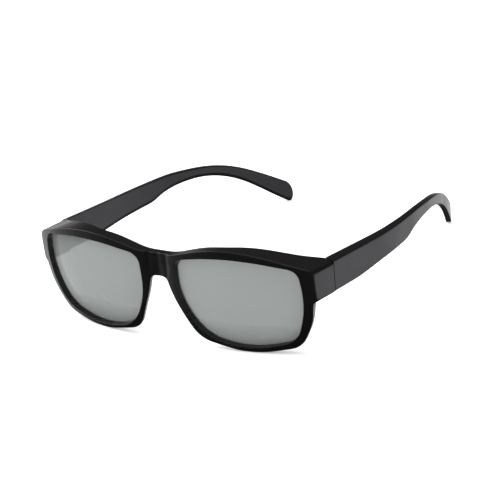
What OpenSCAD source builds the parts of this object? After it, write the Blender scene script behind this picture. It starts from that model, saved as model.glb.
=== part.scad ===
// Driving sunglasses: one-piece front with a deep brow, two curved lenses, and two temples
// that fold on screwed three-knuckle hinges.
//
// Frame: +X is the wearer's left, +Y runs from the front back to the ears, +Z is up. The glasses
// stand open on the table plane z = 0, on the two rim bottoms and the two temple tips, with the
// origin under their middle.
// The pieces are drawn in the head frame, where the temples run level and the origin is the top
// of the bridge, and stood() then sets them down on the table.

/* [Front] */
// Half the width of the front across its top corners
front_half_w = 72.6; // [68:0.1:78]
// Height of the brow's crest above the bridge
brow_rise = 7.5; // [6.8:0.1:8.4]
// Lowest point of the rims below the bridge
rim_drop = 42.8; // [42.2:0.1:44.5]
// Height of the bridge
bridge_h = 10.6; // [9.6:0.1:11.4]
// Depth of the rims, front to back
rim_depth = 3.7; // [3.6:0.1:4.6]
// Depth of the brow behind the bridge line
brow_back = 1.7; // [1.2:0.1:2.4]
// Thickness of the brow's roof
roof_t = 3.0; // [2.6:0.1:3.4]
// Depth of the valley between the two rim lips at the bridge
valley_depth = 0.9; // [0.5:0.1:1.3]

/* [Lenses] */
// Radius of the front of the rims
base_r = 100; // [95:1:110]
// Turn of each eye to its own side, in degrees
face_form = 8.6; // [8:0.1:9.4]
// Lean of the rims back from the brow down, in degrees
lean = 8.6; // [8:0.1:9.4]
// Depth of the lens face behind the rim lip
lens_recess = 1.3; // [1.1:0.1:1.5]
// Thickness of the lens
lens_t = 1.7; // [1.5:0.1:1.8]
// Depth to which the lens edge enters its groove
groove_d = 0.7; // [0.5:0.05:0.9]
// Room left round the lens edge in its groove
groove_gap = 0.05; // [0.03:0.01:0.1]

/* [Temples] */
// Distance from the bridge back to the seam between front and temple
seam_y = 22.4; // [22:0.1:23.4]
// Gap at the seam
seam_gap = 0.2; // [0.15:0.05:0.4]
// Thickness of the end piece's wall beside the temple's inner face
end_wall_t = 3.7; // [3.5:0.1:4]
// Distance back at which the temple starts to bend inward
bend_y = 58; // [55:0.5:61]
// Radius of the inward bend
bend_r = 195; // [188:1:202]
// Length of the temple along its inner face, from the bridge line to the tip
temple_reach = 160.9; // [159.5:0.1:162.5]
// Thickness of the temple at the hinge
temple_t = 3.8; // [3.6:0.1:4.1]
// Height of the temple at the hinge
temple_h = 14.6; // [14:0.1:15.4]
// Height of the end piece's lower edge, below the bridge
end_piece_drop = 16; // [15.4:0.1:16.6]

/* [Hinges] */
// Outer diameter of the knuckles
knuckle_d = 3.0; // [2.8:0.1:3.1]
// Height of the three knuckles together
barrel_h = 6.6; // [6:0.1:7.2]
// Gap between one knuckle and the next
knuckle_gap = 0.15; // [0.1:0.05:0.25]
// Diameter of the hinge screw's shank
screw_d = 1.4; // [1.2:0.05:1.5]
// Running clearance on radius between the shank and the temple's knuckle
running_gap = 0.03; // [0.02:0.01:0.05]
// Thickness of the hinge leaves
leaf_t = 0.9; // [0.8:0.05:1]
// Length of the leaf on the front
front_leaf_l = 9; // [8.5:0.1:9.4]
// Length of the leaf on the temple
temple_leaf_l = 10; // [9.5:0.1:11]
// Shank diameter of the small screws that hold the leaves
leaf_screw_d = 1.2; // [1:0.05:1.3]

/* [Hidden] */

plastic = [0.11, 0.11, 0.12];
temple_plastic = [0.2, 0.2, 0.21];
lens_grey = [0.55, 0.58, 0.57, 0.6];
steel = [0.72, 0.72, 0.74];

left = 1;
right = -1;
round_fn = 48;
ball_fn = 180;
arc_step = 7;
long_arc_step = 3;
long_arc_r = 40;
tangent_share = 0.98;
eps = 0.01;
far = 60;

// The outlines' places suit a half width of 72.6; across() fits each of them to the front's.
width_share = front_half_w / 72.6;
function across(x) = x * width_share;

// Temple's inner face, as a distance from the mirror plane
temple_x = front_half_w - end_wall_t;

// The rims' front face is part of a ball; the lens and the rims' back face share its centre.
eye_x = across(38);
eye_z = -17;
eye_y = -2.6;
ball_centre = [
    eye_x - base_r * sin(face_form),
    eye_y + base_r * sqrt(1 - pow(sin(face_form), 2) - pow(sin(lean), 2)),
    eye_z + base_r * sin(lean)
];
lens_front_r = base_r - lens_recess;
lens_back_r = lens_front_r - lens_t;
rim_back_r = base_r - rim_depth;

// Outlines in the front view: each corner is [x, z, radius], on the wearer's left.
outline_corners = [
    [0, 0, 0],
    [across(7.5), 0, 30],
    [across(35), brow_rise, 70],
    [across(57), brow_rise - 5, 60],
    [front_half_w + 0.4, -2.6, 3.2],
    [front_half_w + 0.4, 0.6 - end_piece_drop, 1],
    [front_half_w - 1.7, -0.7 - end_piece_drop, 1.2],
    [front_half_w - 3.4, -26, 30],
    [across(63.4), 5 - rim_drop, 10],
    [across(37), -rim_drop, 66],
    [across(15.3), 5.7 - rim_drop, 10.5],
    [across(6.4), -19, 60],
    [across(4), -bridge_h, 3],
    [0, -bridge_h, 0]
];
opening_corners = [
    [across(9.2), -1.6, 6],
    [across(38.3), brow_rise - 4, 100],
    [across(66.3), -2.0, 5.5],
    [across(68.3), -17.6, 40],
    [across(61.2), 7.6 - rim_drop, 13],
    [across(38.2), 2.6 - rim_drop, 68],
    [across(18.4), 7.6 - rim_drop, 8],
    [across(8.6), -19, 30]
];

// Back edge of the brow in the plan view, from the mirror plane to the seam: [x, y, radius].
brow_back_corners = [
    [0, brow_back, 0],
    [across(33), brow_back, 20],
    [across(59), 13.2, 40],
    [temple_x, seam_y, 0],
    [temple_x, -far, 0],
    [0, -far, 0]
];
end_piece_x = temple_x + temple_t;
end_piece_plan = [
    [temple_x, 0],
    [end_piece_x + 6, 0],
    [end_piece_x + 0.9, 8],
    [end_piece_x, seam_y],
    [temple_x, seam_y]
];

// The rims narrow toward the back: their outer side and their nose side are drawn again as
// outlines that turn about a point of the lip, [x, y], in the plan view.
outer_side_corners = [
    [-far, far, 0],
    [front_half_w + 0.6, far, 0],
    [front_half_w + 0.6, 0.6 - end_piece_drop, 1],
    [front_half_w - 1.5, -0.7 - end_piece_drop, 1.2],
    [front_half_w - 3.2, -26, 30],
    [across(63.4), 5 - rim_drop, 10],
    [across(37), -rim_drop, 66],
    [-far, -rim_drop - 5, 0]
];
outer_side_pivot = [front_half_w, 9.6];
outer_side_turn = 22;
nose_side_corners = [
    [-far, far, 0],
    [far + eye_x, far, 0],
    [far + eye_x, -rim_drop - 5, 0],
    [across(37), -rim_drop, 66],
    [across(13.2), 5.4 - rim_drop, 9],
    [across(6.2), -19, 60],
    [across(4), -bridge_h, 3],
    [-far, -bridge_h, 0]
];
nose_side_pivot = [across(6.4), -2.5];
nose_side_turn = -24;

// Valley between the lips, in the plan view
valley_lip_x = across(6.6);
valley_floor_x = across(4.4);
valley_y = -3.4;

// Top of the temple at the hinge
temple_top = -1.0;

// Hinge: its axis is upright in the head frame, on the inner side of the seam.
hinge_x = temple_x + leaf_t - knuckle_d / 2;
hinge_z = temple_top - temple_h / 2;
hinge_y = seam_y;
knuckle_h = (barrel_h - 2 * knuckle_gap) / 3;
barrel_room = 0.3;
leaf_room = 0.05;
leaf_start = knuckle_d / 2 + 0.25;
thread_gap = 0.01;
head_d = 2.4;
head_h = 0.7;
slot_w = 0.35;
slot_d = 0.35;
shank_over = 0.3;
leaf_head_d = 2.1;
leaf_head_h = 0.55;
leaf_screw_l = 2.5;
leaf_screw_pitch = 3.8;

// Temple stations: [distance along the inner face, top, bottom, thickness, fall of the top face].
temple_stations = [
    [seam_y + seam_gap, temple_top, temple_top - temple_h, temple_t, 1.3],
    [42, -1.5, -15.3, 3.6, 1.1],
    [60, -1.9, -13.6, 3.4, 0.8],
    [74, -1.9, -12.5, 3.2, 0.6],
    [82, -1.9, -11.7, 3.1, 0.4],
    [89, -1.9, -9.4, 3.1, 0.2],
    [96, -2.0, -8.1, 3.1, 0.1],
    [104, -2.5, -7.6, 3.1, 0.1],
    [112, -3.2, -7.9, 3.1, 0.1],
    [120, -4.4, -9.3, 3.1, 0.1],
    [128, -6.4, -11.9, 3.0, 0.1],
    [136, -9.3, -15.8, 3.0, 0.2],
    [144, -13.1, -20.9, 3.0, 0.3],
    [152, -17.3, -26.4, 3.0, 0.4],
    [temple_reach, -22.2, -32.2, 3.0, 0.4]
];
station_steps = 3;
tip_round = 3.2;
tip_steps = 6;
edge_r = 0.5;
inner_bevel = 0.9;

// Standing plane: it touches the rims at rim_foot and the temple tips at tip_foot, both [y, z].
rim_foot = [8.22, -41.02];
tip_foot = [155.81, -30.61];
rest_angle = atan2(tip_foot[1] - rim_foot[1], tip_foot[0] - rim_foot[0]);
rest_lift = rim_foot[0] * sin(rest_angle) - rim_foot[1] * cos(rest_angle);
rest_middle = 75.01;

function unit(v) = v / norm(v);

// Half the angle at corner b between its neighbours a and c
function half_angle(a, b, c) = acos(unit(a - b) * unit(c - b)) / 2;

// Arc that rounds corner b between its neighbours a and c, grown outward by grow.
function corner_arc(a, b, c, r, grow) =
    let (
        u = unit(a - b),
        v = unit(c - b),
        half = half_angle(a, b, c),
        centre = b + unit(u + v) * r / sin(half),
        start = b + u * r / tan(half) - centre,
        end = b + v * r / tan(half) - centre,
        turn = acos(min(1, max(-1, start * end / (r * r)))) * sign(start[0] * end[1] - start[1] * end[0]),
        first = atan2(start[1], start[0]),
        steps = max(2, ceil(abs(turn) / (r > long_arc_r ? long_arc_step : arc_step)))
    )
    [for (k = [0:steps]) centre + (r + grow) * [cos(first + turn * k / steps), sin(first + turn * k / steps)]];

// Corner i of a closed outline, as a point
function corner_at(corners, i) =
    let (c = corners[(i + len(corners)) % len(corners)])
    [c[0], c[1]];

// Length that the rounding of corner i takes from the edges beside it
function tangent_length(corners, i) =
    corners[(i + len(corners)) % len(corners)][2]
    / tan(half_angle(corner_at(corners, i - 1), corner_at(corners, i), corner_at(corners, i + 1)));

// Share of the edge between corners i and j that their roundings may take, at most 1
function edge_share(corners, i, j) =
    let (asked = tangent_length(corners, i) + tangent_length(corners, j))
    min(1, tangent_share * norm(corner_at(corners, i) - corner_at(corners, j)) / max(eps, asked));

// Closed outline from corners [x, y, radius]; a corner of radius 0 stays sharp, and a radius
// shrinks where its edges are too short for it.
function outline(corners, grow = 0) =
    [for (i = [0:len(corners) - 1])
        let (
            at = corner_at(corners, i),
            r = corners[i][2] * min(edge_share(corners, i - 1, i), edge_share(corners, i, i + 1))
        )
        each (r == 0 ? [at] : corner_arc(corner_at(corners, i - 1), at, corner_at(corners, i + 1), r, grow))];

// Smooth value of one column of the temple's stations at station i, part t of the way to the next.
function station_slope(i, column) =
    let (a = temple_stations[max(0, i - 1)], b = temple_stations[min(len(temple_stations) - 1, i + 1)])
    (b[column] - a[column]) / (b[0] - a[0]);
function station_value(i, t, column) =
    let (
        a = temple_stations[i],
        b = temple_stations[i + 1],
        span = b[0] - a[0]
    )
    a[column] * (2 * pow(t, 3) - 3 * pow(t, 2) + 1) + b[column] * (3 * pow(t, 2) - 2 * pow(t, 3))
    + station_slope(i, column) * span * (pow(t, 3) - 2 * pow(t, 2) + t)
    + station_slope(i + 1, column) * span * (pow(t, 3) - pow(t, 2));

// Place in plan of the temple's inner face at distance s, moved w toward its outer face.
function inner_face(s, w) =
    let (turn = max(0, s - bend_y) / bend_r * 180 / PI)
    [
        temple_x - bend_r * (1 - cos(turn)) + w * cos(turn),
        min(s, bend_y) + bend_r * sin(turn) + w * sin(turn)
    ];

// One ring of the temple: flat inner face with a bevel along its foot, sloping top, rounded edges.
function temple_ring(s, top, bottom, t, fall) =
    let (
        bevel = min(inner_bevel, (top - bottom) / 3),
        r = min(edge_r, (top - bottom) / 6),
        section = [
            [0, bottom + bevel],
            [0, top - r],
            [r, top],
            [t - 2 * r, top - fall],
            [t - r * 0.6, top - fall - r * 0.3],
            [t, top - fall - 2 * r],
            [t, bottom + 2 * r],
            [t - r * 0.6, bottom + r * 0.6],
            [t - 2 * r, bottom],
            [bevel, bottom]
        ]
    )
    [for (p = section) let (at = inner_face(s, p[0])) [at[0], at[1], p[1]]];

// Rings from the hinge to the start of the rounded tip, then the tip's closing rings.
function temple_rings() =
    let (
        last = len(temple_stations) - 1,
        body = [for (i = [0:last - 1], k = [0:station_steps - 1])
            let (t = k / station_steps)
            [for (c = [0:4]) c == 0
                ? temple_stations[i][0] + t * (temple_stations[i + 1][0] - temple_stations[i][0])
                : station_value(i, t, c)]],
        kept = [for (p = body) if (p[0] < temple_reach - tip_round) p],
        tip = [for (k = [0:tip_steps - 1])
            let (
                turn = 84 * k / (tip_steps - 1),
                s = temple_reach - tip_round + tip_round * sin(turn),
                t = (s - temple_stations[last - 1][0]) / (temple_reach - temple_stations[last - 1][0]),
                top = station_value(last - 1, t, 1),
                bottom = station_value(last - 1, t, 2),
                middle = (top + bottom) / 2,
                half = (top - bottom) / 2 * (0.2 + 0.8 * cos(turn))
            )
            [s, middle + half, middle - half, station_value(last - 1, t, 3) * (0.45 + 0.55 * cos(turn)),
                station_value(last - 1, t, 4) * cos(turn)]]
    )
    [for (p = concat(kept, tip)) temple_ring(p[0], p[1], p[2], p[3], p[4])];

// Closed solid through a list of rings with the same number of points.
module loft(rings) {
    n = len(rings[0]);
    last = len(rings) - 1;
    points = [for (ring = rings) each ring];
    sides = [for (i = [0:last - 1], j = [0:n - 1])
        let (a = i * n + j, b = i * n + (j + 1) % n)
        each [[a, b + n, b], [a, a + n, b + n]]];
    first_cap = [for (j = [0:n - 1]) j];
    last_cap = [for (j = [n - 1:-1:0]) last * n + j];
    polyhedron(points, concat([first_cap], sides, [last_cap]), convexity = 6);
}

// Sets a piece drawn in the head frame down on the table.
module stood() {
    translate([0, -rest_middle, rest_lift])
        rotate([-rest_angle, 0, 0])
            children();
}

// Copies a piece drawn for the wearer's left to the given side.
module on_side(side) {
    if (side == left)
        children();
    else
        mirror([1, 0, 0])
            children();
}

module ball(r) {
    translate(ball_centre)
        sphere(r, $fn = ball_fn);
}

// Front-view outline, from well in front of the rims back to the seam or farther
module front_prism(points, back = seam_y) {
    translate([0, back, 0])
        rotate([90, 0, 0])
            linear_extrude(height = back + far)
                polygon(points);
}

module plan_prism(points, bottom, top) {
    translate([0, 0, bottom])
        linear_extrude(height = top - bottom)
            polygon(points);
}

module hinge_axis(bottom, height, r) {
    translate([hinge_x, hinge_y, hinge_z + bottom])
        cylinder(h = height, r = r, $fn = round_fn);
}

// Cylinder across the leaf at distance y from the hinge axis, from depth x_from outward
module across_leaf(y, x_from, length, r) {
    translate([temple_x + x_from, hinge_y + y, hinge_z])
        rotate([0, 90, 0])
            cylinder(h = length, r = r, $fn = round_fn);
}

// Room for the barrel and one leaf; direction is -1 on the front and 1 on the temple.
module hinge_room(direction, leaf_l) {
    hinge_axis(-barrel_h / 2 - shank_over - barrel_room, barrel_h + shank_over + head_h + 3 * barrel_room,
        knuckle_d / 2 + barrel_room);
    low = barrel_h / 2 + leaf_room;
    near = direction * (leaf_l + leaf_room);
    translate([temple_x - 1, hinge_y + min(0, near), hinge_z - low])
        cube([1 + leaf_t + leaf_room, leaf_l + leaf_room, 2 * low]);
    for (y = leaf_screw_places(leaf_l))
        across_leaf(direction * y, 0, leaf_screw_l + 0.2, leaf_screw_d / 2 + thread_gap);
}

function leaf_screw_places(leaf_l) = [leaf_l - 1.7 - leaf_screw_pitch, leaf_l - 1.7];

// Part of a front-view outline that lies between two balls round the same centre
module curved_plate(points, front_r, back_r) {
    difference() {
        intersection() {
            front_prism(points);
            ball(front_r);
        }
        ball(back_r);
    }
}

// Front-view outline whose walls turn about an upright line through pivot
module turned_prism(points, pivot, turn) {
    translate([pivot[0], pivot[1], 0])
        rotate([0, 0, turn])
            translate([-pivot[0], -pivot[1], 0])
                front_prism(points, far);
}

module rim() {
    intersection() {
        curved_plate(outline(outline_corners), base_r, rim_back_r);
        turned_prism(outline(outer_side_corners), outer_side_pivot, outer_side_turn);
        turned_prism(outline(nose_side_corners), nose_side_pivot, nose_side_turn);
    }
}

module brow_roof() {
    intersection() {
        difference() {
            front_prism(outline(outline_corners));
            translate([0, 0, -roof_t])
                front_prism(outline(outline_corners));
        }
        ball(base_r);
        plan_prism(outline(brow_back_corners), -far, far);
    }
}

module end_piece() {
    intersection() {
        front_prism(outline(outline_corners));
        ball(base_r);
        plan_prism(end_piece_plan, -end_piece_drop, far);
    }
}

module front_half() {
    difference() {
        union() {
            rim();
            brow_roof();
            end_piece();
        }
        front_prism(outline(opening_corners));
        curved_plate(outline(opening_corners, groove_d + groove_gap), lens_front_r + groove_gap,
            lens_back_r - groove_gap);
        hinge_room(-1, front_leaf_l);
    }
}

module valley() {
    plan_prism([
        [-valley_lip_x, -far],
        [-valley_lip_x, valley_y],
        [-valley_floor_x, valley_y + valley_depth],
        [valley_floor_x, valley_y + valley_depth],
        [valley_lip_x, valley_y],
        [valley_lip_x, -far]
    ], -far, far);
}

module front_frame() {
    color(plastic)
        stood()
            difference() {
                union() {
                    front_half();
                    mirror([1, 0, 0])
                        front_half();
                }
                valley();
            }
}

module lens(side) {
    color(lens_grey)
        stood()
            on_side(side)
                curved_plate(outline(opening_corners, groove_d), lens_front_r, lens_back_r);
}

module temple(side) {
    color(temple_plastic)
        stood()
            on_side(side)
                difference() {
                    loft(temple_rings());
                    hinge_room(1, temple_leaf_l);
                }
}

// Hinge leaf: a plate beside the barrel, and arms that carry the knuckles given as [bottom, bore]
module leaf(direction, leaf_l, knuckles) {
    difference() {
        union() {
            translate([temple_x, hinge_y + min(direction * leaf_start, direction * leaf_l), hinge_z - barrel_h / 2])
                cube([leaf_t, leaf_l - leaf_start, barrel_h]);
            for (knuckle = knuckles) {
                translate([temple_x, hinge_y + min(0, direction * leaf_start), hinge_z + knuckle[0]])
                    cube([leaf_t, leaf_start, knuckle_h]);
                hinge_axis(knuckle[0], knuckle_h, knuckle_d / 2);
            }
        }
        for (knuckle = knuckles)
            hinge_axis(knuckle[0] - eps, knuckle_h + 2 * eps, knuckle[1] / 2);
        for (y = leaf_screw_places(leaf_l))
            across_leaf(direction * y, -eps, leaf_t + 2 * eps, leaf_screw_d / 2 + running_gap);
    }
}

module front_hinge_leaf(side) {
    color(steel)
        stood()
            on_side(side)
                leaf(-1, front_leaf_l, [
                    [-barrel_h / 2, screw_d + 2 * thread_gap],
                    [barrel_h / 2 - knuckle_h, screw_d + 2 * running_gap]
                ]);
}

module temple_hinge_leaf(side) {
    color(steel)
        stood()
            on_side(side)
                leaf(1, temple_leaf_l, [[-knuckle_h / 2, screw_d + 2 * running_gap]]);
}

module hinge_screw(side) {
    color(steel)
        stood()
            on_side(side)
                difference() {
                    union() {
                        hinge_axis(-barrel_h / 2 - shank_over, barrel_h + shank_over, screw_d / 2);
                        hinge_axis(barrel_h / 2, head_h, head_d / 2);
                    }
                    translate([hinge_x - head_d, hinge_y - slot_w / 2, hinge_z + barrel_h / 2 + head_h - slot_d])
                        cube([2 * head_d, slot_w, slot_d + eps]);
                }
}

// Two small screws through a leaf, their heads on its inner face
module leaf_screws(direction, leaf_l) {
    for (y = leaf_screw_places(leaf_l))
        difference() {
            union() {
                across_leaf(direction * y, 0, leaf_screw_l, leaf_screw_d / 2);
                across_leaf(direction * y, -leaf_head_h, leaf_head_h, leaf_head_d / 2);
            }
            translate([temple_x - leaf_head_h - eps, hinge_y + direction * y - slot_w / 2, hinge_z - leaf_head_d])
                cube([slot_d * 0.8, slot_w, 2 * leaf_head_d]);
        }
}

module front_leaf_screws(side) {
    color(steel)
        stood()
            on_side(side)
                leaf_screws(-1, front_leaf_l);
}

module temple_leaf_screws(side) {
    color(steel)
        stood()
            on_side(side)
                leaf_screws(1, temple_leaf_l);
}

front_frame();
lens(left);  // lens_left
lens(right);  // lens_right
temple(left);  // temple_left
temple(right);  // temple_right
front_hinge_leaf(left);  // front_hinge_leaf_left
front_hinge_leaf(right);  // front_hinge_leaf_right
temple_hinge_leaf(left);  // temple_hinge_leaf_left
temple_hinge_leaf(right);  // temple_hinge_leaf_right
hinge_screw(left);  // hinge_screw_left
hinge_screw(right);  // hinge_screw_right
front_leaf_screws(left);  // front_leaf_screws_left
front_leaf_screws(right);  // front_leaf_screws_right
temple_leaf_screws(left);  // temple_leaf_screws_left
temple_leaf_screws(right);  // temple_leaf_screws_right
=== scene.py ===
"""Driving sunglasses: the one-piece front, the two lenses and the two temples in their finishes.

Every piece is drawn in the head frame in millimetres, where the temples run level and the origin
is the top of the bridge, and is then set down on the table in the shared frame in metres.
"""

import logging
import math
from bisect import bisect_right
from dataclasses import dataclass
from enum import Enum
from typing import ClassVar, Dict, List, Optional, Sequence, Tuple

import bmesh
import bpy
from mathutils import Matrix, Vector


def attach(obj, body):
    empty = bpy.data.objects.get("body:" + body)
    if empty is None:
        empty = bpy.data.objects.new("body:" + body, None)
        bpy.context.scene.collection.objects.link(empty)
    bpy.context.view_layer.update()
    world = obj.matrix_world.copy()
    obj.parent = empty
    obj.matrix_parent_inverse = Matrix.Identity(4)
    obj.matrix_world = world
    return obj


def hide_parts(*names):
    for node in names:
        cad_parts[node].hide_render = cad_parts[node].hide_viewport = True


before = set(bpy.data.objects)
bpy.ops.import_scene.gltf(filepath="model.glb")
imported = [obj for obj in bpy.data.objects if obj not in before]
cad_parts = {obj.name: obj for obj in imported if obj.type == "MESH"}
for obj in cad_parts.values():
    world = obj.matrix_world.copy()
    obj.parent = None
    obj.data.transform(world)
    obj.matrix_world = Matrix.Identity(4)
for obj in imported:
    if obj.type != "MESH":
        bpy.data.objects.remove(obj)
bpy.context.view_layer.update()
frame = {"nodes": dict(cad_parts)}  # frame["bodies"], ["nodes"], ["joints"], ["record"]

LOG = logging.getLogger("driving_sunglasses")

Point2 = Tuple[float, float]
Point3 = Tuple[float, float, float]
Corner = Tuple[float, float, float]
Colour = Tuple[float, float, float, float]
Row = Tuple[float, float, float, float, float]
RunEnd = Tuple[float, float, float, float, int]
Ring = List[Vector]
Piece = bpy.types.Object
Node = bpy.types.Node

FRONT_BODY = "front"
ARM_BODY = {"left": "temple_arm_left", "right": "temple_arm_right"}
SIDES = ("left", "right")
ORIGIN = (0.0, 0.0, 0.0)
ARC_STEP_DEG = 2.0
TINY = 1e-9
MERGE_MM = 0.0008  # points of a sweep closer than this are one point
MIDDLE_MM = 0.002  # what lies closer than this to the mirror plane lies on it
MOST_OF_ARM = 0.45  # part of a corner's arm that its rounding may take
POST_SIDES = 64
WHITE = (1.0, 1.0, 1.0, 1.0)
NOISE_SPAN = (0.3, 0.7)  # where nearly all of a noise's values lie
DUST_PATCHES = (0.45, 0.7)  # noise values between which dust sets in
SPECK_EDGE = (0.16, 0.05)  # from the rim of a dust speck to its full strength, in cells


class Slot(Enum):
    """The names of the record's slots for the pieces' finishes."""

    FRONT = "front_plastic"
    TEMPLE = "temple_plastic"
    LENS = "lens"
    STEEL = "steel"


# Plane outlines


def part_of_way(value: float, start: float, end: float) -> float:
    """Tells how far a value is on the way from start to end, held between 0 and 1."""
    return min(1.0, max(0.0, (value - start) / (end - start)))


def stood_up(place: Point2) -> Vector:
    """Gives the point at y 0 for a place (x, z) of the front view."""
    return Vector((place[0], 0.0, place[1]))


def corner_arms(corners: Sequence[Corner], i: int) -> Tuple[Vector, Vector, Vector, float]:
    """Measures one corner of a closed outline.

    Args:
        corners: Each corner as (x, y, radius).
        i: The corner's number.

    Returns:
        Its place, the directions of its two edges, and half the angle between them.
    """
    here = Vector(corners[i][:2])
    u = (Vector(corners[i - 1][:2]) - here).normalized()
    v = (Vector(corners[(i + 1) % len(corners)][:2]) - here).normalized()
    return here, u, v, math.acos(max(-1.0, min(1.0, u.dot(v)))) / 2


def rounded_outline(corners: Sequence[Corner]) -> List[Point2]:
    """Draws a closed outline whose corners are rounded.

    Args:
        corners: Each corner as (x, y, radius), in order round the outline.

    Returns:
        The outline's points in the same order; a corner of radius 0 stays sharp.
    """
    points: List[Point2] = []
    for i, (x, y, radius) in enumerate(corners):
        if radius <= 0:
            points.append((x, y))
            continue
        here, u, v, half = corner_arms(corners, i)
        centre = here + (u + v).normalized() * (radius / math.sin(half))
        start = here + u * (radius / math.tan(half)) - centre
        end = here + v * (radius / math.tan(half)) - centre
        first = math.atan2(start.y, start.x)
        turn = math.atan2(start.x * end.y - start.y * end.x, start.dot(end))
        steps = max(2, math.ceil(abs(math.degrees(turn)) / ARC_STEP_DEG))
        for k in range(steps + 1):
            angle = first + turn * k / steps
            points.append((centre.x + radius * math.cos(angle), centre.y + radius * math.sin(angle)))
    return points


class Outline:
    """A closed plane outline that can be measured along its length."""

    PROBE: ClassVar[float] = 0.05

    def __init__(self, corners: Sequence[Corner]) -> None:
        """Rounds the corners and measures the outline.

        Args:
            corners: Each corner as (x, y, radius).
        """
        self.points = [Vector(p) for p in rounded_outline(corners)]
        self.edges = list(zip(self.points, self.points[1:] + self.points[:1]))
        self.lengths = [0.0]
        for a, b in self.edges:
            self.lengths.append(self.lengths[-1] + (b - a).length)
        self.total = self.lengths[-1]

    def mark(self, near: Point2) -> float:
        """Finds the length along the outline of the place closest to a point.

        Args:
            near: The point, (x, y).

        Returns:
            The length from the outline's first point.
        """
        target = Vector(near)
        best, best_gap = 0.0, math.inf
        for i, (a, b) in enumerate(self.edges):
            span = b - a
            if span.length < TINY:
                continue
            t = max(0.0, min(1.0, (target - a).dot(span) / span.length_squared))
            gap = (a + span * t - target).length
            if gap < best_gap:
                best, best_gap = self.lengths[i] + t * span.length, gap
        return best

    def at(self, length: float) -> Vector:
        """Gives the point at a length along the outline.

        Args:
            length: Length from the outline's first point; it wraps round.

        Returns:
            The point.
        """
        length %= self.total
        low = bisect_right(self.lengths, length, hi=len(self.points)) - 1
        a, b = self.edges[low]
        span = self.lengths[low + 1] - self.lengths[low]
        return a.lerp(b, (length - self.lengths[low]) / span if span else 0.0)

    def inward(self, length: float) -> Vector:
        """Gives the direction into the outline, square to it, at a length along it.

        Args:
            length: Length from the outline's first point.

        Returns:
            The direction, one unit long.
        """
        along = (self.at(length + self.PROBE) - self.at(length - self.PROBE)).normalized()
        side = Vector((-along.y, along.x))
        probe = self.at(length) + side * self.PROBE
        return side if self.holds(probe.x, probe.y) else -side

    def holds(self, x: float, y: float) -> bool:
        """Tells whether a point lies inside the outline.

        Args:
            x: First coordinate.
            y: Second coordinate.

        Returns:
            True when the point is inside.
        """
        inside = False
        for a, b in self.edges:
            if (b.y > y) != (a.y > y) and x < (a.x - b.x) * (y - b.y) / (a.y - b.y) + b.x:
                inside = not inside
        return inside

    def highest(self, x: float, floor: float) -> float:
        """Finds the outline's upper height over one place.

        Args:
            x: Where to look, as the first coordinate.
            floor: Height given back where the outline doesn't reach that place.

        Returns:
            The highest second coordinate at x.
        """
        top = floor
        for a, b in self.edges:
            if (b.x > x) != (a.x > x):
                top = max(top, a.y + (x - a.x) / (b.x - a.x) * (b.y - a.y))
        return top


# Workshop: the few hand operations that every piece is made with


def deselect_all() -> None:
    """Leaves edit mode if it is on and deselects every object."""
    if bpy.context.object and bpy.context.object.mode != "OBJECT":
        bpy.ops.object.mode_set(mode="OBJECT")
    bpy.ops.object.select_all(action="DESELECT")


def pick(piece: Piece) -> None:
    """Makes a piece the only selected and the active one.

    Args:
        piece: The piece to work on.
    """
    deselect_all()
    piece.select_set(True)
    bpy.context.view_layer.objects.active = piece


def apply_place() -> None:
    """Applies the place, turn and size of what is selected."""
    bpy.ops.object.transform_apply(location=True, rotation=True, scale=True)


def apply_modifier(piece: Piece, kind: str, **settings: object) -> None:
    """Adds a modifier to a piece and applies it.

    Args:
        piece: The piece to work on.
        kind: The modifier's type.
        **settings: Values for the modifier's own settings.
    """
    pick(piece)
    modifier = piece.modifiers.new(kind.lower(), kind)
    for name, value in settings.items():
        setattr(modifier, name, value)
    bpy.ops.object.modifier_apply(modifier=modifier.name)


def sweep(name: str, rings: Sequence[Ring], closed: bool) -> Piece:
    """Draws a circle, lays it on the first ring, and extrudes it from ring to ring.

    Args:
        name: Name of the new piece.
        rings: The rings in order, each with the same number of points.
        closed: True joins the last ring to the first; False caps both ends.

    Returns:
        The new piece, in the head frame.
    """
    deselect_all()
    count = len(rings[0])
    bpy.ops.mesh.primitive_circle_add(vertices=count, radius=1.0, fill_type="NOTHING")
    piece = bpy.context.object
    piece.name = piece.data.name = name
    bpy.ops.object.mode_set(mode="EDIT")
    bpy.ops.mesh.select_mode(type="VERT")
    bpy.ops.mesh.select_all(action="SELECT")
    mesh = bmesh.from_edit_mesh(piece.data)
    mesh.verts.ensure_lookup_table()
    for vert, place in zip(mesh.verts, rings[0]):
        vert.co = place
    if not closed:
        bpy.ops.mesh.edge_face_add()
        bpy.ops.mesh.select_mode(type="EDGE")
        mesh = bmesh.from_edit_mesh(piece.data)
        for face in mesh.faces:
            face.select_set(False)
        for edge in mesh.edges:
            edge.select_set(True)
    place_of: Dict[int, int] = {i: i for i in range(count)}
    for ring in [*rings[1:], rings[0]] if closed else rings[1:]:
        bpy.ops.mesh.extrude_edges_move()
        mesh = bmesh.from_edit_mesh(piece.data)
        mesh.verts.index_update()
        fresh: Dict[int, int] = {}
        for vert in [v for v in mesh.verts if v.select]:
            sources = (edge.other_vert(vert).index for edge in vert.link_edges)
            source = next((s for s in sources if s in place_of), None)
            if source is not None:
                fresh[vert.index] = place_of[source]
                vert.co = ring[place_of[source]]
        place_of = fresh
    if not closed:
        bpy.ops.mesh.edge_face_add()
    bpy.ops.mesh.select_all(action="SELECT")
    bpy.ops.mesh.remove_doubles(threshold=MERGE_MM)
    bpy.ops.mesh.normals_make_consistent(inside=False)
    bmesh.update_edit_mesh(piece.data)
    bpy.ops.object.mode_set(mode="OBJECT")
    return piece


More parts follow.
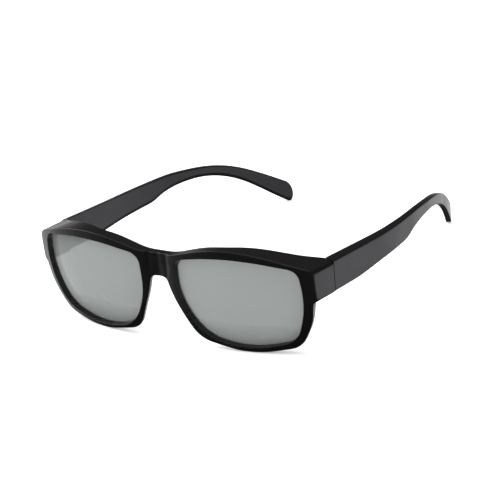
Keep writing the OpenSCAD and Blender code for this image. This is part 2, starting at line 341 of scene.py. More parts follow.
def cut(piece: Piece, cutters: Sequence[Piece]) -> None:
    """Cuts the cutters' shapes out of a piece and throws the cutters away.

    Args:
        piece: The piece to cut.
        cutters: The shapes to take away.
    """
    for cutter in cutters:
        apply_modifier(piece, "BOOLEAN", operation="DIFFERENCE", solver="EXACT", object=cutter)
        bpy.data.objects.remove(cutter)


def block(low: Point3, high: Point3) -> Piece:
    """Draws a box between two corners.

    Args:
        low: The corner with the lowest coordinates.
        high: The corner with the highest coordinates.

    Returns:
        The box.
    """
    deselect_all()
    middle = [(a + b) / 2 for a, b in zip(low, high)]
    bpy.ops.mesh.primitive_cube_add(size=1.0, location=middle)
    bpy.ops.transform.resize(value=[b - a for a, b in zip(low, high)])
    apply_place()
    return bpy.context.object


def post(x: float, y: float, low: float, high: float, radius: float) -> Piece:
    """Draws an upright round post.

    Args:
        x: Distance of its axis from the mirror plane.
        y: Distance back of its axis.
        low: Height of its foot.
        high: Height of its top.
        radius: Its radius.

    Returns:
        The post.
    """
    deselect_all()
    middle = (x, y, (low + high) / 2)
    bpy.ops.mesh.primitive_cylinder_add(
        vertices=POST_SIDES, radius=radius, depth=high - low, location=middle
    )
    apply_place()
    return bpy.context.object


def finish_shape(piece: Piece, angle_deg: float = 34.0, weighted: bool = True) -> None:
    """Smooths the shading between faces that meet at less than an angle.

    Args:
        piece: The piece to work on.
        angle_deg: Faces that meet more sharply than this keep their edge.
        weighted: True lets the large faces shade flat beside their rounded edges.
    """
    pick(piece)
    bpy.ops.object.shade_smooth_by_angle(angle=math.radians(angle_deg))
    if weighted:
        apply_modifier(piece, "WEIGHTED_NORMAL", weight=60, keep_sharp=True)


def mirrored_copy(piece: Piece, name: str) -> Piece:
    """Copies a piece of the wearer's left to the right.

    Args:
        piece: The piece on the left.
        name: Name of the copy.

    Returns:
        The copy, with its own mesh.
    """
    pick(piece)
    bpy.ops.object.duplicate()
    copy = bpy.context.object
    copy.name = copy.data.name = name
    bpy.ops.transform.resize(value=(-1.0, 1.0, 1.0), center_override=ORIGIN)
    apply_place()
    bpy.ops.object.mode_set(mode="EDIT")
    bpy.ops.mesh.select_all(action="SELECT")
    bpy.ops.mesh.normals_make_consistent(inside=False)
    bpy.ops.object.mode_set(mode="OBJECT")
    return copy


def corner_points(before: Vector, corner: Vector, after: Vector, radius: float, steps: int = 3) -> Ring:
    """Rounds one corner of a section.

    Args:
        before: The point that the section comes from.
        corner: The corner.
        after: The point that the section goes on to.
        radius: How far from the corner the rounding starts, where there is room.
        steps: Number of edges that the rounding has.

    Returns:
        The rounding's points in order.
    """
    arms = before - corner, after - corner
    reach = min(radius, *(MOST_OF_ARM * arm.length for arm in arms))
    start, end = (corner + (arm.normalized() * reach if arm.length > TINY else Vector()) for arm in arms)
    points = []
    for k in range(steps + 1):
        t = k / steps
        points.append(start * (1 - t) ** 2 + corner * 2 * t * (1 - t) + end * t**2)
    return points


def dress(piece: Piece, material: bpy.types.Material) -> None:
    """Gives a piece its material.

    Args:
        piece: The finished piece.
        material: Its material.
    """
    piece.data.materials.clear()
    piece.data.materials.append(material)


# Finishes


class NodeSheet:
    """A node tree that nodes are added to and joined up in by name."""

    def __init__(self, tree: bpy.types.NodeTree) -> None:
        """Empties the tree to build in."""
        self.tree = tree
        tree.nodes.clear()

    def add(self, kind: str, values: Optional[Dict[object, object]] = None, **settings: object) -> Node:
        """Adds a node.

        Args:
            kind: The node's type.
            values: Values for its input sockets, by name or number.
            **settings: Values for its own settings.

        Returns:
            The node.
        """
        node = self.tree.nodes.new(kind)
        for name, value in settings.items():
            setattr(node, name, value)
        for socket, value in (values or {}).items():
            node.inputs[socket].default_value = value
        return node

    def rescale(self, low: float, high: float, to_low: float = 0.0, to_high: float = 1.0) -> Node:
        """Adds a node that turns one range of values into another."""
        limits = {"From Min": low, "From Max": high, "To Min": to_low, "To Max": to_high}
        return self.add("ShaderNodeMapRange", limits)

    def ramp(self, spots: Sequence[Point2]) -> Node:
        """Adds a ramp of greys.

        Args:
            spots: Position and grey of each spot, the two ends first.

        Returns:
            The node.
        """
        node = self.add("ShaderNodeValToRGB")
        for k, (at, grey) in enumerate(spots):
            spot = node.color_ramp.elements[k] if k < 2 else node.color_ramp.elements.new(at)
            spot.position = at
            spot.color = (grey, grey, grey, 1.0)
        return node

    def wire(self, *links: Tuple[Node, object, Node, object]) -> None:
        """Joins outputs to inputs.

        Args:
            *links: Source node, its output, target node and its input, by name or number.
        """
        for source, output, target, socket in links:
            self.tree.links.new(source.outputs[output], target.inputs[socket])


def new_material(name: str) -> Tuple[bpy.types.Material, NodeSheet, Node]:
    """Starts a material.

    Args:
        name: The material's name.

    Returns:
        The material, its sheet and its output node.
    """
    material = bpy.data.materials.new(name)
    material.use_nodes = True
    sheet = NodeSheet(material.node_tree)
    return material, sheet, sheet.add("ShaderNodeOutputMaterial")


def effect_group(name: str, inputs: Dict[str, float], outputs: Sequence[str]) -> Tuple[NodeSheet, Node, Node]:
    """Starts a shared effect as a node group.

    Args:
        name: The group's name.
        inputs: Name and default of each number the group takes; it also takes a Vector.
        outputs: Name of each number it gives.

    Returns:
        The group's sheet, its input node and its output node.
    """
    tree = bpy.data.node_groups.new(name, "ShaderNodeTree")
    tree.interface.new_socket(name="Vector", in_out="INPUT", socket_type="NodeSocketVector")
    for socket, default in inputs.items():
        item = tree.interface.new_socket(name=socket, in_out="INPUT", socket_type="NodeSocketFloat")
        item.default_value = default
    for socket in outputs:
        tree.interface.new_socket(name=socket, in_out="OUTPUT", socket_type="NodeSocketFloat")
    sheet = NodeSheet(tree)
    return sheet, sheet.add("NodeGroupInput"), sheet.add("NodeGroupOutput")


def moulded_skin_group() -> bpy.types.NodeTree:
    """Makes the shared skin of moulded plastic: fine grain, cloudy sheen and a little dust.

    Returns:
        The node group, with the outputs Height, Sheen and Dust.
    """
    name = "moulded_skin"
    if name in bpy.data.node_groups:
        return bpy.data.node_groups[name]
    scales = {"Grain Scale": 9000.0, "Sheen Scale": 90.0, "Dust Scale": 2600.0, "Dust Amount": 0.03}
    sheet, source, result = effect_group(name, scales, ("Height", "Sheen", "Dust"))
    grain = sheet.add("ShaderNodeTexNoise", {"Detail": 3.0, "Roughness": 0.6})
    sheen = sheet.add("ShaderNodeTexNoise", {"Detail": 4.0, "Roughness": 0.55})
    specks = sheet.add("ShaderNodeTexVoronoi", feature="F1")
    near = sheet.rescale(*SPECK_EDGE)
    patches = sheet.rescale(*DUST_PATCHES)
    both = sheet.add("ShaderNodeMath", operation="MULTIPLY")
    amount = sheet.add("ShaderNodeMath", operation="MULTIPLY")
    for node, scale in ((grain, "Grain Scale"), (sheen, "Sheen Scale"), (specks, "Dust Scale")):
        sheet.wire((source, "Vector", node, "Vector"), (source, scale, node, "Scale"))
    sheet.wire(
        (specks, "Distance", near, "Value"), (sheen, "Fac", patches, "Value"),
        (near, "Result", both, 0), (patches, "Result", both, 1),
        (both, "Value", amount, 0), (source, "Dust Amount", amount, 1),
        (grain, "Fac", result, "Height"), (sheen, "Fac", result, "Sheen"), (amount, "Value", result, "Dust"),
    )
    return sheet.tree


def drawn_metal_group() -> bpy.types.NodeTree:
    """Makes the surface of drawn and tumbled metal: fine lines and blotches.

    Returns:
        The node group, with the outputs Height and Blotch.
    """
    scales = {"Line Scale": 26000.0, "Blotch Scale": 900.0}
    sheet, source, result = effect_group("drawn_metal", scales, ("Height", "Blotch"))
    stretch = sheet.add("ShaderNodeMapping", {"Scale": (1.0, 1.0, 0.04)})
    lines = sheet.add("ShaderNodeTexNoise", {"Detail": 2.0})
    blotch = sheet.add("ShaderNodeTexNoise", {"Detail": 5.0, "Roughness": 0.6})
    sheet.wire(
        (source, "Vector", stretch, "Vector"), (stretch, "Vector", lines, "Vector"),
        (source, "Line Scale", lines, "Scale"), (source, "Vector", blotch, "Vector"),
        (source, "Blotch Scale", blotch, "Scale"), (lines, "Fac", result, "Height"),
        (blotch, "Fac", result, "Blotch"),
    )
    return sheet.tree


@dataclass(frozen=True)
class PlasticFinish:
    """Moulded black plastic."""

    name: str
    colour: Colour
    gloss: Colour
    roughness: float
    roughness_spread: float = 0.05
    specular: float = 0.5
    grain_per_metre: float = 9000.0
    grain_height: float = 0.00001
    dust: float = 0.03
    dust_colour: Colour = (0.35, 0.34, 0.32, 1.0)

    def material(self) -> bpy.types.Material:
        """Makes the plastic, with fine grain, a cloudy sheen and a little dust.

        Returns:
            The material.
        """
        material, sheet, output = new_material(self.name)
        coat = {"IOR": 1.5, "Specular IOR Level": self.specular, "Specular Tint": self.gloss}
        shader = sheet.add("ShaderNodeBsdfPrincipled", {"Base Color": self.colour, **coat})
        place = sheet.add("ShaderNodeTexCoord")
        scales = {"Grain Scale": self.grain_per_metre, "Dust Amount": self.dust}
        skin = sheet.add("ShaderNodeGroup", scales, node_tree=moulded_skin_group())
        spread = self.roughness_spread
        sheen = sheet.rescale(*NOISE_SPAN, self.roughness - spread, self.roughness + spread)
        dusty = sheet.add("ShaderNodeMix", {"A": self.colour, "B": self.dust_colour}, data_type="RGBA")
        bump = sheet.add("ShaderNodeBump", {"Strength": 0.25, "Distance": self.grain_height})
        sheet.wire(
            (place, "Object", skin, "Vector"), (skin, "Sheen", sheen, "Value"),
            (sheen, "Result", shader, "Roughness"), (skin, "Dust", dusty, "Factor"),
            (dusty, "Result", shader, "Base Color"), (skin, "Height", bump, "Height"),
            (bump, "Normal", shader, "Normal"), (shader, "BSDF", output, "Surface"),
        )
        return material


@dataclass(frozen=True)
class LensFinish:
    """Tinted lens with painted shade that darkens it along its lower edge.

    The tint, index and clearness are set to the photograph's tones.
    """

    name: str
    tint: Colour
    # painted shade: the lens's colour is painted darker along its lower edge, between the given heights
    painted_shade_colour: Colour
    clearness: float
    specular: float
    index: float
    shadow: Colour
    painted_shade_heights: Point2
    haze_per_metre: float = 70.0
    roughest: float = 0.03

    def material(self) -> bpy.types.Material:
        """Makes the lens, which lets part of the light through to its own shadow.

        Returns:
            The material.
        """
        material, sheet, output = new_material(self.name)
        place = sheet.add("ShaderNodeTexCoord")
        height = sheet.add("ShaderNodeSeparateXYZ")
        # painted shade: the colour darkens by height toward the lens's lower edge
        shade = sheet.rescale(*self.painted_shade_heights)
        tint = sheet.add("ShaderNodeMix", {"A": self.painted_shade_colour, "B": self.tint}, data_type="RGBA")
        haze = sheet.add("ShaderNodeTexNoise", {"Scale": self.haze_per_metre, "Detail": 3.0})
        gloss = sheet.rescale(*NOISE_SPAN, 0.0, self.roughest)
        coat = {"IOR": self.index, "Specular IOR Level": self.specular}
        shader = sheet.add("ShaderNodeBsdfPrincipled", {"Transmission Weight": self.clearness, **coat})
        clear = sheet.add("ShaderNodeBsdfTransparent", {"Color": self.shadow})
        path = sheet.add("ShaderNodeLightPath")
        either = sheet.add("ShaderNodeMixShader")
        sheet.wire(
            (place, "Object", height, "Vector"), (height, "Z", shade, "Value"),
            (shade, "Result", tint, "Factor"), (tint, "Result", shader, "Base Color"),
            (place, "Object", haze, "Vector"), (haze, "Fac", gloss, "Value"),
            (gloss, "Result", shader, "Roughness"), (path, "Is Shadow Ray", either, "Fac"),
            (shader, "BSDF", either, 1), (clear, "BSDF", either, 2), (either, "Shader", output, "Surface"),
        )
        return material


@dataclass(frozen=True)
class SteelFinish:
    """Blackened satin steel."""

    name: str
    colour: Colour
    roughness: float
    smoother: float = 0.08
    rougher: float = 0.1
    lines_per_metre: float = 26000.0
    line_height: float = 0.00001

    def material(self) -> bpy.types.Material:
        """Makes the steel, with fine drawn lines and a blotchy sheen.

        Returns:
            The material.
        """
        material, sheet, output = new_material(self.name)
        shader = sheet.add("ShaderNodeBsdfPrincipled", {"Base Color": self.colour, "Metallic": 1.0})
        place = sheet.add("ShaderNodeTexCoord")
        lines = {"Line Scale": self.lines_per_metre}
        metal = sheet.add("ShaderNodeGroup", lines, node_tree=drawn_metal_group())
        sheen = sheet.rescale(*NOISE_SPAN, self.roughness - self.smoother, self.roughness + self.rougher)
        bump = sheet.add("ShaderNodeBump", {"Strength": 0.15, "Distance": self.line_height})
        sheet.wire(
            (place, "Object", metal, "Vector"), (metal, "Blotch", sheen, "Value"),
            (sheen, "Result", shader, "Roughness"), (metal, "Height", bump, "Height"),
            (bump, "Normal", shader, "Normal"), (shader, "BSDF", output, "Surface"),
        )
        return material


FRONT_PLASTIC = PlasticFinish("front_plastic", (0.0038, 0.0037, 0.0042, 1.0), (0.97, 0.93, 1.0, 1.0), 0.30)
TEMPLE_PLASTIC = PlasticFinish("temple_plastic", (0.0045, 0.0044, 0.005, 1.0), (0.95, 0.905, 1.0, 1.0), 0.32)
LENS = LensFinish(
    name="tinted_lens",
    tint=(0.365, 0.384, 0.376, 1.0),
    # painted shade: the darker colour along the lens's lower edge and the heights it spans
    painted_shade_colour=(0.185, 0.194, 0.19, 1.0),
    clearness=0.64,
    specular=0.15,
    index=1.15,
    shadow=(0.32, 0.34, 0.33, 1.0),
    painted_shade_heights=(-0.002, 0.0135),
)
STEEL = SteelFinish("black_steel", (0.045, 0.045, 0.047, 1.0), 0.32)


# What the sub-assemblies share


@dataclass(frozen=True)
class HeadFrame:
    """How the head frame is set down on the table, on the rims' feet and the temples' tips."""

    foot: Point2 = (8.22, -41.02)
    tip_foot: Point2 = (155.81, -30.61)
    middle: float = 75.01

    def seat(self, piece: Piece) -> None:
        """Sets a piece down in the shared frame and applies its place and size.

        Args:
            piece: The piece, in the head frame.
        """
        (y, z), (tip_y, tip_z) = self.foot, self.tip_foot
        tilt = math.atan2(tip_z - z, tip_y - y)
        lift = y * math.sin(tilt) - z * math.cos(tilt)
        pick(piece)
        bpy.ops.transform.rotate(value=tilt, orient_axis="X", orient_type="GLOBAL", center_override=ORIGIN)
        bpy.ops.transform.translate(value=(0.0, -self.middle, lift))
        bpy.ops.transform.resize(value=(0.001, 0.001, 0.001), center_override=ORIGIN)
        apply_place()


@dataclass(frozen=True)
class Eyes:
    """The ball that the rims' faces and the lenses are parts of."""

    radius: float = 100.0
    centre: Point3 = (23.046, 95.138, -2.046)
    rim_depth: float = 3.7
    lens_recess: float = 2.7
    lens_thickness: float = 0.9

    def face(self, x: float, z: float, depth: float = 0.0) -> float:
        """Gives how far back the face lies that runs a depth behind the rims' front, at (x, z)."""
        side = (self.radius - depth) ** 2 - (x - self.centre[0]) ** 2 - (z - self.centre[2]) ** 2
        return self.centre[1] - math.sqrt(side)

    def spot(self, x: float, z: float, depth: float = 0.0) -> Vector:
        """Gives the point of that face at a place of the front view."""
        return Vector((x, self.face(x, z, depth), z))


@dataclass(frozen=True)
class HingeRoom:
    """Room that the hinge takes in the front and in the temple."""

    x: float = 68.3
    y: float = 22.4
    z: float = -8.3
    barrel_radius: float = 1.8
    barrel_low: float = -3.9
    barrel_high: float = 4.9
    leaf_face: float = 0.6
    leaf_slack: float = 1.0
    leaf_depth: float = 0.95
    leaf_half_height: float = 3.35
    front_leaf: float = 9.05
    temple_leaf: float = 10.05

    def cutters(self, direction: int, leaf: float) -> List[Piece]:
        """Draws the cutters for the barrel and one leaf of the hinge.

        Args:
            direction: -1 for the front's side of the seam, 1 for the temple's.
            leaf: Length of the leaf's pocket from the hinge axis.

        Returns:
            The cutters.
        """
        face = self.x + self.leaf_face
        near, off = sorted((self.y - direction, self.y + direction * leaf))
        low, high = self.z - self.leaf_half_height, self.z + self.leaf_half_height
        return [
            post(self.x, self.y, self.z + self.barrel_low, self.z + self.barrel_high, self.barrel_radius),
            block((face - self.leaf_slack, near, low), (face + self.leaf_depth, off, high)),
        ]


# The front


class StationKind(Enum):
    """What the front's section looks like at a station of the lens opening."""

    BROW = "brow"
    BRIDGE_TOP = "bridge_top"
    BRIDGE = "bridge"
    END = "end"
    RIM = "rim"


@dataclass(frozen=True)
class Station:
    """One section of the front: a place on the outline and the place of the opening it faces.

    The two directions lead from those places into the plastic, square to the outlines.
    """

    kind: StationKind
    outer: Point2
    inner: Point2
    outer_in: Point2
    inner_out: Point2
    inset: float = 0.0
    on_edge: bool = False


@dataclass
class Front:
    """The one-piece front: rims, brow, bridge and end pieces.

    Corners are (x, z, radius) in the front view, on the wearer's left, and the brow's back edge
    is (x, y, radius) in plan.
    """

    stand: HeadFrame
    eyes: Eyes
    hinge: HingeRoom
    outer_corners: Tuple[Corner, ...] = (
        (0, 0, 0), (7.5, 0, 30), (35, 7.5, 70), (57, 2.5, 60), (73.0, -2.6, 3.2), (73.0, -15.4, 1),
        (70.9, -16.7, 1.2), (69.2, -26, 30), (63.4, -37.8, 10), (37, -42.8, 66), (15.3, -37.1, 10.5),
        (6.4, -19, 60), (4, -10.6, 3), (0, -10.6, 0),
    )
    opening_corners: Tuple[Corner, ...] = (
        (9.2, -1.6, 6), (38.3, 3.5, 100), (66.3, -2.0, 5.5), (68.3, -17.6, 40), (61.2, -35.2, 13),
        (38.2, -40.5, 50), (18.0, -35.7, 19), (8.6, -19, 30),
    )
    outer_side_corners: Tuple[Corner, ...] = (
        (-60, 60, 0), (73.2, 60, 0), (73.2, -15.4, 1), (71.1, -16.7, 1.2), (69.4, -26, 30),
        (63.4, -37.8, 10), (37, -42.8, 66), (-60, -47.8, 0),
    )
    outer_pivot: Point2 = (72.6, 9.6)
    outer_turn: float = math.radians(22)
    nose_side_corners: Tuple[Corner, ...] = (
        (-60, 60, 0), (98, 60, 0), (98, -47.8, 0), (37, -42.8, 66), (13.2, -37.4, 9),
        (6.2, -19, 60), (4, -10.6, 3), (-60, -10.6, 0),
    )
    nose_pivot: Point2 = (6.4, -2.5)
    nose_turn: float = math.radians(-24)
    brow_back_corners: Tuple[Corner, ...] = (
        (0, 1.7, 0), (33, 1.7, 20), (59, 13.2, 40), (68.9, 22.4, 0), (68.9, -60, 0), (0, -60, 0),
    )
    roof: float = 3.0
    thin_roof: float = 0.06
    seam_y: float = 22.4
    seam_slack: float = 0.01
    temple_x: float = 68.9
    end_x: float = 72.7
    end_foot: float = -16.0
    end_facing_x: float = 67.2
    bridge_height: float = 10.6
    bridge_reach: float = 6.0
    valley: Tuple[Point2, Point2] = ((6.6, -3.4), (4.4, -2.5))
    valley_near: float = 22.0
    valley_fade: float = 12.0
    valley_gap: float = 0.12
    shortest_face: float = 0.5
    wall_slope: float = 0.5
    end_lip_in: float = 0.4
    end_lip_run: Point2 = (68.9, 72.1)
    end_lip_rise: Point2 = (-16.0, -13.5)
    lip_round: float = 0.8
    bridge_lip_round: float = 0.45
    lip_blend: Point2 = (12.0, 18.0)
    corner_blend: Point2 = (12.0, 24.0)
    inner_round: float = 0.4
    back_round: float = 0.45
    roof_round: float = 0.3
    seat_round: float = 0.5
    tight_round: float = 0.06
    tight_x: Point2 = (65.0, 70.0)
    tight_z: float = -15.2
    face_parts: int = 3

    # Each run ends at an outer and an inner place, (x, z) and (x, z), after so many stations.
    RUNS: ClassVar[Dict[StationKind, Tuple[RunEnd, ...]]] = {
        StationKind.BRIDGE_TOP: ((0.0, -2.97, 10.3, -2.97, 0), (0.0, -0.55, 12.2, -1.35, 7)),
        StationKind.BROW: (
            (0.0, 0.0, 12.48, -1.24, 1), (7.5, 0.3, 15.0, -0.6, 14), (12.0, 1.3, 16.8, -0.25, 6),
            (20.0, 3.4, 21.5, 0.55, 8), (35.0, 5.4, 35.4, 1.75, 16), (57.0, 2.4, 57.0, -0.2, 22),
            (62.4, 0.8, 62.4, -1.24, 6), (65.8, -0.3, 65.8, -3.4, 6), (68.9, -1.3, 66.35, -4.5, 6),
        ),
        StationKind.END: (
            (72.1, -2.8, 66.7, -5.5, 10), (73.0, -4.9, 66.8, -6.9, 8), (73.0, -13.0, 67.25, -13.0, 12),
            (73.0, -14.8, 67.2, -14.9, 3),
        ),
        StationKind.RIM: (
            (71.93, -16.06, 67.1, -16.06, 0), (70.8, -17.25, 66.95, -17.2, 5),
            (70.1, -21.2, 66.35, -21.0, 7), (62.7, -36.9, 60.1, -33.9, 32), (37.0, -42.0, 38.2, -39.4, 30),
            (17.0, -36.4, 19.0, -34.6, 26), (6.6, -19.0, 8.8, -19.0, 26), (4.8, -13.0, 8.85, -12.4, 10),
            (2.6, -10.6, 8.9, -10.0, 9), (0.0, -10.6, 8.95, -9.3, 5),
        ),
        StationKind.BRIDGE: ((0.0, -10.05, 8.95, -9.2, 1), (0.0, -3.03, 10.25, -3.03, 10)),
    }
    # Stations that round off the end piece's foot: place and how far the seam's edges draw in.
    END_FOOT: ClassVar[Tuple[Corner, ...]] = ((72.9, -15.25, 0.0), (72.5, -15.7, 0.12), (72.03, -16.0, 0.42))
    REACH_STEPS: ClassVar[int] = 22
    ON_PLANE: ClassVar[float] = 1e-3
    WHOLE_WAY: ClassVar[float] = 0.999

    def __post_init__(self) -> None:
        """Draws the outlines that the sections are taken from."""
        self.outer = Outline(self.outer_corners)
        self.opening = Outline(self.opening_corners)
        self.brow_back = Outline(self.brow_back_corners)
        self.walls = (
            (Outline(self.outer_side_corners), self.outer_pivot, self.outer_turn),
            (Outline(self.nose_side_corners), self.nose_pivot, self.nose_turn),
        )

    def build(self) -> List[Piece]:
        """Builds the front.

        Returns:
            The finished piece, in the shared frame.
        """
        stations = self.stations()
        sections = [self.section(s, part) for s, part in zip(stations, self.end_parts(stations))]
        rings = [[section[k] for section in sections] for k in range(len(sections[0]))]
        piece = sweep("front", rings, closed=True)
        cut(piece, self.hinge.cutters(-1, self.hinge.front_leaf))
        self.open_middle(piece)
        mirror = {"use_axis": (True, False, False), "use_mirror_merge": True, "merge_threshold": MIDDLE_MM}
        apply_modifier(piece, "MIRROR", **mirror)
        finish_shape(piece)
        self.stand.seat(piece)
        return [piece]

    def dress(self, pieces: Sequence[Piece]) -> None:
        """Gives the front its plastic, its body and the node it stands for.

        Args:
            pieces: The front alone.
        """
        for piece in pieces:
            dress(piece, FRONT_PLASTIC.material())
            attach(piece, FRONT_BODY)
            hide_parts("front_frame")

    def stations(self) -> List[Station]:
        """Spreads the stations round the lens opening.

        Returns:
            The stations in order.
        """
        made: List[Station] = []
        outer_at = inner_at = 0.0
        runs = [(kind, row) for kind, rows in self.RUNS.items() for row in rows]
        for index, (kind, (x, z, facing_x, facing_z, count)) in enumerate(runs):
            outer_end, inner_end = self.outer.mark((x, z)), self.opening.mark((facing_x, facing_z))
            for k in range(count):
                t = (k + 1) / count
                outer = outer_at + self.along(outer_at, outer_end, self.outer.total) * t
                inner = inner_at + self.along(inner_at, inner_end, self.opening.total) * t
                made.append(self.station(kind, outer, inner))
            if index and count == 0:
                for foot_x, foot_z, inset in self.END_FOOT:
                    at = self.outer.mark((foot_x, foot_z))
                    facing = self.opening.mark((self.end_facing_x, foot_z))
                    made.append(self.station(StationKind.END, at, facing, inset))
            if count == 0:
                made.append(self.station(kind, outer_end, inner_end))
            outer_at, inner_at = outer_end, inner_end
        return made

    @staticmethod
    def along(start: float, end: float, total: float) -> float:
        """Gives the shorter way, with its sign, between two marks of an outline of a total length."""
        way = (end - start) % total
        return way if way <= total / 2 else way - total

    def station(self, kind: StationKind, outer: float, inner: float, inset: float = 0.0) -> Station:
        """Makes one station from marks on the two outlines.

        Args:
            kind: What the section looks like there.
            outer: Mark on the outline.
            inner: Mark on the opening.
            inset: How far the seam's edges are drawn in there.

        Returns:
            The station.
        """
        p, q = self.outer.at(outer), self.opening.at(inner)
        into, out = self.outer.inward(outer), -self.opening.inward(inner)
        on_edge = False
        if abs(p.x) < self.ON_PLANE:
            p.x = 0.0
            into = Vector((1.0, 0.0))
            for height, way in ((0.0, -1.0), (-self.bridge_height, 1.0)):
                if abs(p.y - height) < self.ON_PLANE:
                    p.y, into, on_edge = height, Vector((0.0, way)), True
        return Station(kind, tuple(p), tuple(q), tuple(into), tuple(out), inset, on_edge)

    def front_y(self, x: float, z: float) -> float:
        """Gives the distance back of the front face, with the valley at the bridge.

        Args:
            x: Distance from the mirror plane.
            z: Height.

        Returns:
            The distance back.
        """
        face = self.eyes.face(x, z)
        (lip_x, lip_y), (floor_x, floor_y) = self.valley
        if x >= lip_x:
            return face
        return max(face, lip_y + (floor_y - lip_y) * part_of_way(x, lip_x, floor_x))

    def on_face(self, point: Vector) -> Vector:
        """Moves a point straight back or forward onto the front face."""
        return Vector((point.x, self.front_y(point.x, point.z), point.z))

    def held(self, x: float, y: float, z: float) -> bool:
        """Tells whether a point lies within the rims' turned side walls.

        Args:
            x: Distance from the mirror plane.
            y: Distance back.
            z: Height.

        Returns:
            True when both walls hold it.
        """
        for wall, (pivot_x, pivot_y), turn in self.walls:
            dx, dy = x - pivot_x, y - pivot_y
            if not wall.holds(pivot_x + dx * math.cos(turn) + dy * math.sin(turn), z):
                return False
        return True

    def reach(self, station: Station, depth: float) -> Point2:
        """Finds how far the rim goes from the opening toward the outline at one depth.

        Args:
            station: The station.
            depth: How far behind the rims' front face to look.

        Returns:
            The rim's outer place, (x, z), at that depth.
        """
        q, p = Vector(station.inner), Vector(station.outer)
        low, high, part = 0.0, 1.0, 1.0
        for _ in range(self.REACH_STEPS):
            at = q.lerp(p, part)
            if self.held(at.x, self.eyes.face(at.x, at.y, depth), at.y):
                low = part
            else:
                high = part
            part = (low + high) / 2
            if low == 1.0:
                break
        return tuple(q.lerp(p, low))

    def brow_depth(self, x: float) -> float:
        """Gives the distance back of the brow's back edge, up to the seam."""
        return min(self.brow_back.highest(min(x, self.temple_x - self.seam_slack), 0.0), self.seam_y)

    def section(self, station: Station, end_part: float) -> Ring:
        """Draws the front's section at a station.

        Args:
            station: The station.
            end_part: Part of the way down the end piece, for stations there.

        Returns:
            The section's points, from the opening's front edge outward and back round.
        """
        eyes, depth, kind = self.eyes, self.eyes.rim_depth, station.kind
        px, pz = lip_at = back_at = station.outer
        front = eyes.spot(*station.inner)
        back = eyes.spot(*(Vector(station.inner) - Vector(station.inner_out) * self.wall_slope), depth)
        if kind is StationKind.RIM and px != 0:
            lip_at, back_at = self.reach(station, 0.0), self.reach(station, depth)
        lip = self.on_face(stood_up(lip_at))
        if kind in (StationKind.RIM, StationKind.BRIDGE):
            outer_back = eyes.spot(*back_at, depth)
        elif kind is StationKind.END:
            drawn_in = part_of_way(px, *self.end_lip_run) * part_of_way(pz, *self.end_lip_rise)
            lip = eyes.spot(px - self.end_lip_in * drawn_in, pz)
            outer_back = Vector((min(px, self.end_x) - station.inset, self.seam_y - station.inset, pz))
        else:
            outer_back = Vector((px, self.brow_depth(px), pz))
        third, fourth = self.inner_corners(station, outer_back, back, end_part)
        return self.ring(station, [front, lip, outer_back, third, fourth, back])

    def inner_corners(
        self, station: Station, outer_back: Vector, back: Vector, end_part: float
    ) -> Tuple[Vector, Vector]:
        """Places the two corners where the roof or end piece meets the rim's back.

        Args:
            station: The station.
            outer_back: The section's outer back corner.
            back: The opening's back edge.
            end_part: Part of the way down the end piece.

        Returns:
            The two corners.
        """
        eyes = self.eyes
        (px, pz), (qx, qz) = station.outer, station.inner
        if station.kind is StationKind.BRIDGE_TOP:
            third = Vector((qx, self.brow_depth(qx), qz))
            return third, (third + back) / 2
        if station.kind is StationKind.BROW:
            x = qx + (px - qx) * part_of_way(px, *self.corner_blend)
            opening_top = self.opening.highest(x, -math.inf)
            bottom = max(self.outer.highest(x, pz) - self.roof, opening_top)
            third = Vector((x, self.brow_depth(x), bottom))
            fourth = eyes.spot(x, bottom, eyes.rim_depth)
            if bottom - opening_top < self.thin_roof:
                fourth.y = (fourth.y + third.y) / 2
            return third, fourth
        if station.kind is StationKind.END:
            z = pz if station.inset or end_part > self.WHOLE_WAY else self.end_height(end_part)
            third = Vector((self.temple_x, self.seam_y - station.inset, z))
            return third, eyes.spot(self.temple_x, z, eyes.rim_depth)
        lift = self.back_round if px < self.bridge_reach else 0.0
        start = outer_back + stood_up(station.outer_in) * lift
        thirds = [start.lerp(back, t) for t in (1 / 3, 2 / 3)]
        return tuple(eyes.spot(at.x, at.z, eyes.rim_depth) for at in thirds)

    def end_height(self, part: float) -> float:
        """Gives the height of the end piece's inner wall, at a part of the way to its foot."""
        top = self.outer.highest(self.temple_x, self.end_foot) - self.roof
        return top + (self.end_foot - top) * part

    def ring(self, station: Station, corners: Ring) -> Ring:
        """Rounds the section's corners and adds the points across its front face.

        Args:
            station: The station.
            corners: The opening's front edge, the lip, the outer back edge, the two inner
                corners and the opening's back edge.

        Returns:
            The whole ring.
        """
        front, lip, outer_back, third, fourth, back = corners
        into, out = stood_up(station.outer_in), stood_up(station.inner_out)
        wide = part_of_way(lip.x, *self.lip_blend)
        lip_round = self.bridge_lip_round + (self.lip_round - self.bridge_lip_round) * wide
        free = lip.x > 0 or station.on_edge
        lip_round, back_round = (lip_round, self.back_round) if free else (0.0, 0.0)
        face_start = self.on_face(front + out * self.inner_round)
        face_end = self.on_face(lip + into * lip_round)
        points = corner_points(back, front, self.on_face(front + out), self.inner_round)
        for t in self.face_marks(face_start.x, face_end.x):
            points.append(self.on_face(face_start.lerp(face_end, t)))
        points += corner_points(self.on_face(lip + into), lip, outer_back, lip_round)
        back_after = third if station.kind is StationKind.END else outer_back + into
        points += corner_points(lip, outer_back, back_after, back_round)
        near_top = self.tight_x[0] < lip.x < self.tight_x[1]
        tight = station.kind in (StationKind.BROW, StationKind.END) and (
            near_top or station.outer[1] < self.tight_z
        )
        points += corner_points(outer_back, third, fourth, self.tight_round if tight else self.roof_round)
        points += corner_points(third, fourth, back, self.tight_round if tight else self.seat_round)
        points += corner_points(fourth, back, front, self.inner_round)
        return points

